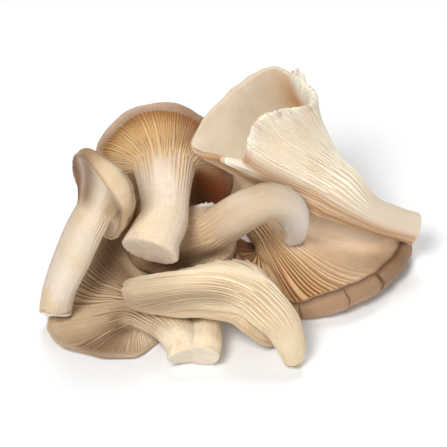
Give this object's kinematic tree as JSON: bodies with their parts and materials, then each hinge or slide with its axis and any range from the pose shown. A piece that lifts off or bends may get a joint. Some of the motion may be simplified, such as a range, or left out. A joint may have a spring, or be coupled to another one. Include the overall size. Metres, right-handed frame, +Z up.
{
  "type": "oyster mushroom cluster",
  "caption": "Loose heap of fresh oyster mushrooms with fan and funnel caps, gilled undersides and cut stems.",
  "frame": {"origin": "middle of the heap's bounding box, on the surface it lies on", "axes": "+X along the heap's longest extent, from the left mushroom to the funnel's stem; +Y away from the viewer of the picture; +Z up"},
  "size_m": [0.1816, 0.1158, 0.0998],
  "materials": {
    "pale_flesh": "matt, smooth",
    "cream_flesh": "matt, fibrous",
    "brown_gilled_flesh": "matt, gilled"
  },
  "bodies": {
    "root": {"mushroom_left": "cream_flesh", "mushroom_centre": "cream_flesh", "mushroom_funnel": "pale_flesh", "mushroom_arch": "cream_flesh", "mushroom_front_left_pair": "brown_gilled_flesh", "mushroom_front_arch": "cream_flesh", "mushroom_low_right": "brown_gilled_flesh"}
  },
  "joints": []
}
